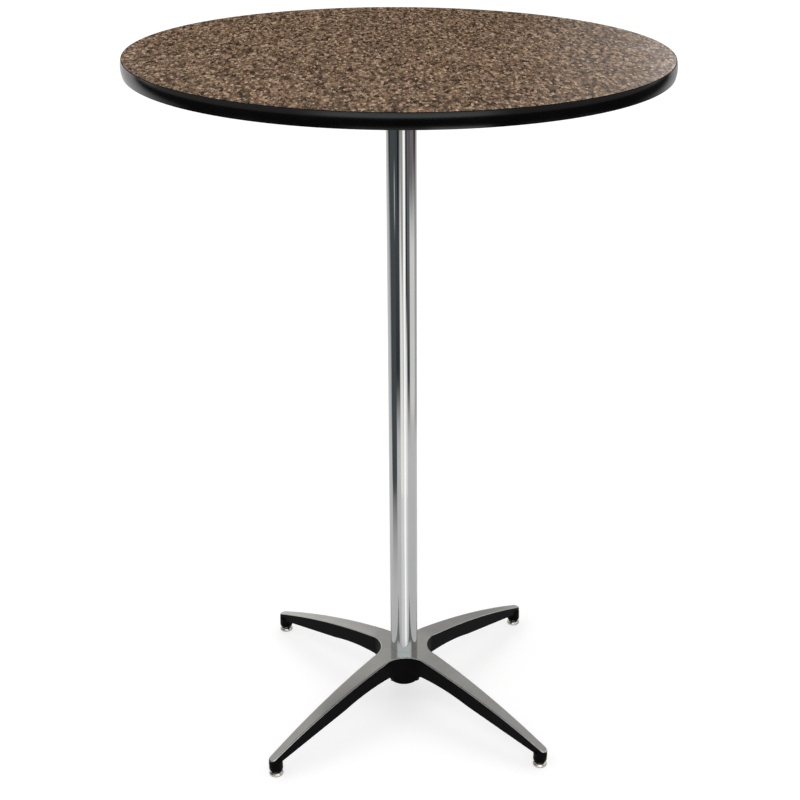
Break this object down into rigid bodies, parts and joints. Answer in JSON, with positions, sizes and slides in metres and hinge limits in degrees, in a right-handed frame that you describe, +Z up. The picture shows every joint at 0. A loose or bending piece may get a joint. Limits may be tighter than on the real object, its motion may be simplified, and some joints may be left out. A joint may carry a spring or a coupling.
{
  "type": "pub table",
  "caption": "Bar-height pedestal table: round brown speckled top with a black edge, chrome column, and a four-leg cast base with levelling glides.",
  "frame": {"origin": "on the floor, under the middle of the column", "axes": "+Z up along the column; the legs lie on the diagonals and the front faces -Y"},
  "size_m": [0.7652, 0.7652, 1.0668],
  "materials": {
    "board": "bare plywood",
    "laminate": "satin decorative laminate with a brown granite speckle",
    "backer": "plain dark sheet",
    "edging": "black vinyl",
    "black_casting": "black paint",
    "zinc_steel": "zinc plated",
    "column_chrome": "bright chrome",
    "polished_casting": "polished upper faces, black painted sides and underside",
    "nickel": "nickel plated"
  },
  "bodies": {
    "table": {"top_core": "board", "top_laminate": "laminate", "bottom_backer": "backer", "edge_band": "edging", "top_spider": "black_casting", "spider_screws": "zinc_steel", "column_tube": "column_chrome", "tie_rod": "zinc_steel", "rod_washer": "zinc_steel", "rod_lock_washer": "zinc_steel", "rod_nut": "zinc_steel", "base_casting": "polished_casting"},
    "pad_front_left": {"glide_pad_front_left": "nickel"},
    "stem_front_left": {"glide_stem_front_left": "zinc_steel"},
    "pad_front_right": {"glide_pad_front_right": "nickel"},
    "stem_front_right": {"glide_stem_front_right": "zinc_steel"},
    "pad_back_left": {"glide_pad_back_left": "nickel"},
    "stem_back_left": {"glide_stem_back_left": "zinc_steel"},
    "pad_back_right": {"glide_pad_back_right": "nickel"},
    "stem_back_right": {"glide_stem_back_right": "zinc_steel"}
  },
  "joints": [
    {"name": "front_left_glide_travel", "type": "slide", "parent": "table", "child": "pad_front_left", "axis": [0, 0, -1], "range_m": [0, 0.0084]},
    {"name": "front_left_stem_turn", "type": "hinge", "parent": "pad_front_left", "child": "stem_front_left", "pos_m": [-0.20471, -0.20471, 0], "axis": [0, 0, -1], "range_deg": [0, 2160]},
    {"name": "front_right_glide_travel", "type": "slide", "parent": "table", "child": "pad_front_right", "axis": [0, 0, -1], "range_m": [0, 0.0084]},
    {"name": "front_right_stem_turn", "type": "hinge", "parent": "pad_front_right", "child": "stem_front_right", "pos_m": [0.20471, -0.20471, 0], "axis": [0, 0, -1], "range_deg": [0, 2160]},
    {"name": "back_left_glide_travel", "type": "slide", "parent": "table", "child": "pad_back_left", "axis": [0, 0, -1], "range_m": [0, 0.0084]},
    {"name": "back_left_stem_turn", "type": "hinge", "parent": "pad_back_left", "child": "stem_back_left", "pos_m": [-0.20471, 0.20471, 0], "axis": [0, 0, -1], "range_deg": [0, 2160]},
    {"name": "back_right_glide_travel", "type": "slide", "parent": "table", "child": "pad_back_right", "axis": [0, 0, -1], "range_m": [0, 0.0084]},
    {"name": "back_right_stem_turn", "type": "hinge", "parent": "pad_back_right", "child": "stem_back_right", "pos_m": [0.20471, 0.20471, 0], "axis": [0, 0, -1], "range_deg": [0, 2160]}
  ],
  "couplings": [
    {"joint": "front_left_stem_turn", "follows": "front_left_glide_travel", "rad_per_m": 4452.7},
    {"joint": "front_right_stem_turn", "follows": "front_right_glide_travel", "rad_per_m": 4452.7},
    {"joint": "back_left_stem_turn", "follows": "back_left_glide_travel", "rad_per_m": 4452.7},
    {"joint": "back_right_stem_turn", "follows": "back_right_glide_travel", "rad_per_m": 4452.7}
  ]
}
